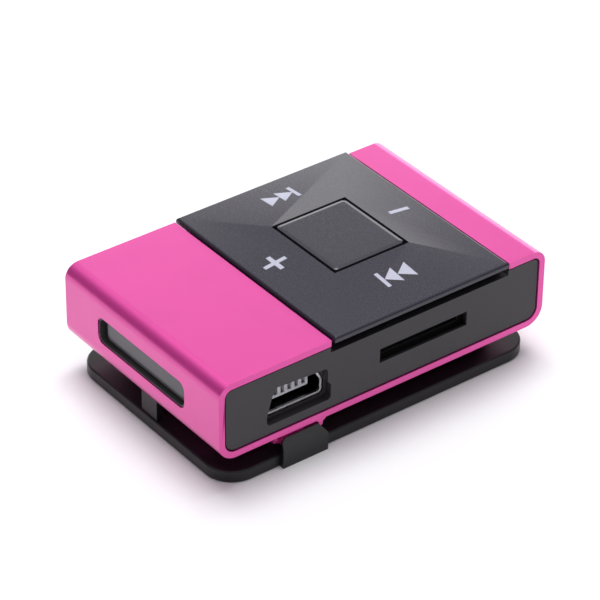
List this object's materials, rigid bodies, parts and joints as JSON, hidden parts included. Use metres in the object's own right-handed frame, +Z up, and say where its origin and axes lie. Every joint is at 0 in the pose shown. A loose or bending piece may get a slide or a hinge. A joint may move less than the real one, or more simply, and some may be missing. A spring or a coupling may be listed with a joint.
{
  "type": "digital audio player",
  "caption": "Screenless clip-on digital audio player: anodised sleeve, black side plates with USB and card sockets, four-way rocker with centre button, sprung belt clip.",
  "frame": {"origin": "middle of the clip's underside, which the player rests on", "axes": "+X along the length, from the windowed end towards the plain end; +Z up through the rocker; the side with the USB and card sockets faces -Y"},
  "size_m": [0.046, 0.0306, 0.0154],
  "materials": {
    "pink_metal": "satin anodised",
    "black_plastic": "fine matte",
    "key_plastic": "satin",
    "clip_plastic": "satin gloss",
    "smoked": "smoked",
    "silicone": "matte",
    "steel": "bright",
    "contacts": "gold plated",
    "grey_plastic": "matte",
    "circuit_board": "solder mask",
    "chip": "matte",
    "pouch": "laminate foil",
    "red_lead": "insulation",
    "black_lead": "insulation",
    "foam": "foam",
    "led": "clear",
    "ceramic": "matte"
  },
  "bodies": {
    "housing": {"sleeve": "pink_metal", "front_plate": "black_plastic", "rear_plate": "black_plastic", "inner_tray": "black_plastic", "window_bezel": "black_plastic", "window_pane": "smoked", "status_led": "led", "rocker_cradle": "black_plastic", "key_board": "circuit_board", "dome_play": "steel", "dome_next": "steel", "dome_previous": "steel", "dome_louder": "steel", "dome_quieter": "steel", "keypad_membrane": "silicone", "main_board": "circuit_board", "controller_chip": "chip", "amplifier_chip": "chip", "crystal_can": "steel", "capacitor_1": "ceramic", "capacitor_2": "ceramic", "capacitor_3": "ceramic", "board_link": "chip", "board_screw_1": "steel", "board_screw_2": "steel", "board_screw_3": "steel", "board_screw_4": "steel", "usb_shell": "steel", "usb_tongue": "grey_plastic", "usb_contact_1": "contacts", "usb_contact_2": "contacts", "usb_contact_3": "contacts", "usb_contact_4": "contacts", "usb_contact_5": "contacts", "card_base": "chip", "card_cover": "steel", "card_contacts": "contacts", "headphone_jack": "chip", "headphone_contact_sleeve": "contacts", "headphone_contact_tip": "contacts", "switch_housing": "steel", "battery_pad": "foam", "battery_cell": "pouch", "battery_circuit": "circuit_board", "battery_lead_red": "red_lead", "battery_lead_black": "black_lead", "clip_spring": "steel"},
    "clip": {"clip_plate": "clip_plastic", "hinge_pin": "steel"},
    "pivot_ring": {"rocker_pivot_ring": "black_plastic"},
    "rocker": {"rocker_plate": "key_plastic"},
    "centre_key": {"centre_button": "key_plastic"},
    "power_knob": {"switch_knob": "key_plastic"}
  },
  "joints": [
    {"name": "clip_hinge", "type": "hinge", "parent": "housing", "child": "clip", "pos_m": [-0.0118, 0, 0.00275], "axis": [0, 1, 0], "range_deg": [0, 14], "stiffness_Nm_per_rad": 0.25, "springref_deg": -17.19, "deforming": ["clip_spring"]},
    {"name": "rocker_tilt_sides", "type": "hinge", "parent": "housing", "child": "pivot_ring", "pos_m": [0.00475, 0, 0.01307], "axis": [1, 0, 0], "range_deg": [-1.8, 1.8], "stiffness_Nm_per_rad": 0.2},
    {"name": "rocker_tilt_ends", "type": "hinge", "parent": "pivot_ring", "child": "rocker", "pos_m": [0.00475, 0, 0.01307], "axis": [0, 1, 0], "range_deg": [-2, 2], "stiffness_Nm_per_rad": 0.2},
    {"name": "centre_press", "type": "slide", "parent": "rocker", "child": "centre_key", "axis": [0, 0, -1], "range_m": [0, 0.00035], "stiffness_N_per_m": 3000},
    {"name": "power_slide", "type": "slide", "parent": "housing", "child": "power_knob", "axis": [1, 0, 0], "range_m": [0, 0.002]}
  ]
}
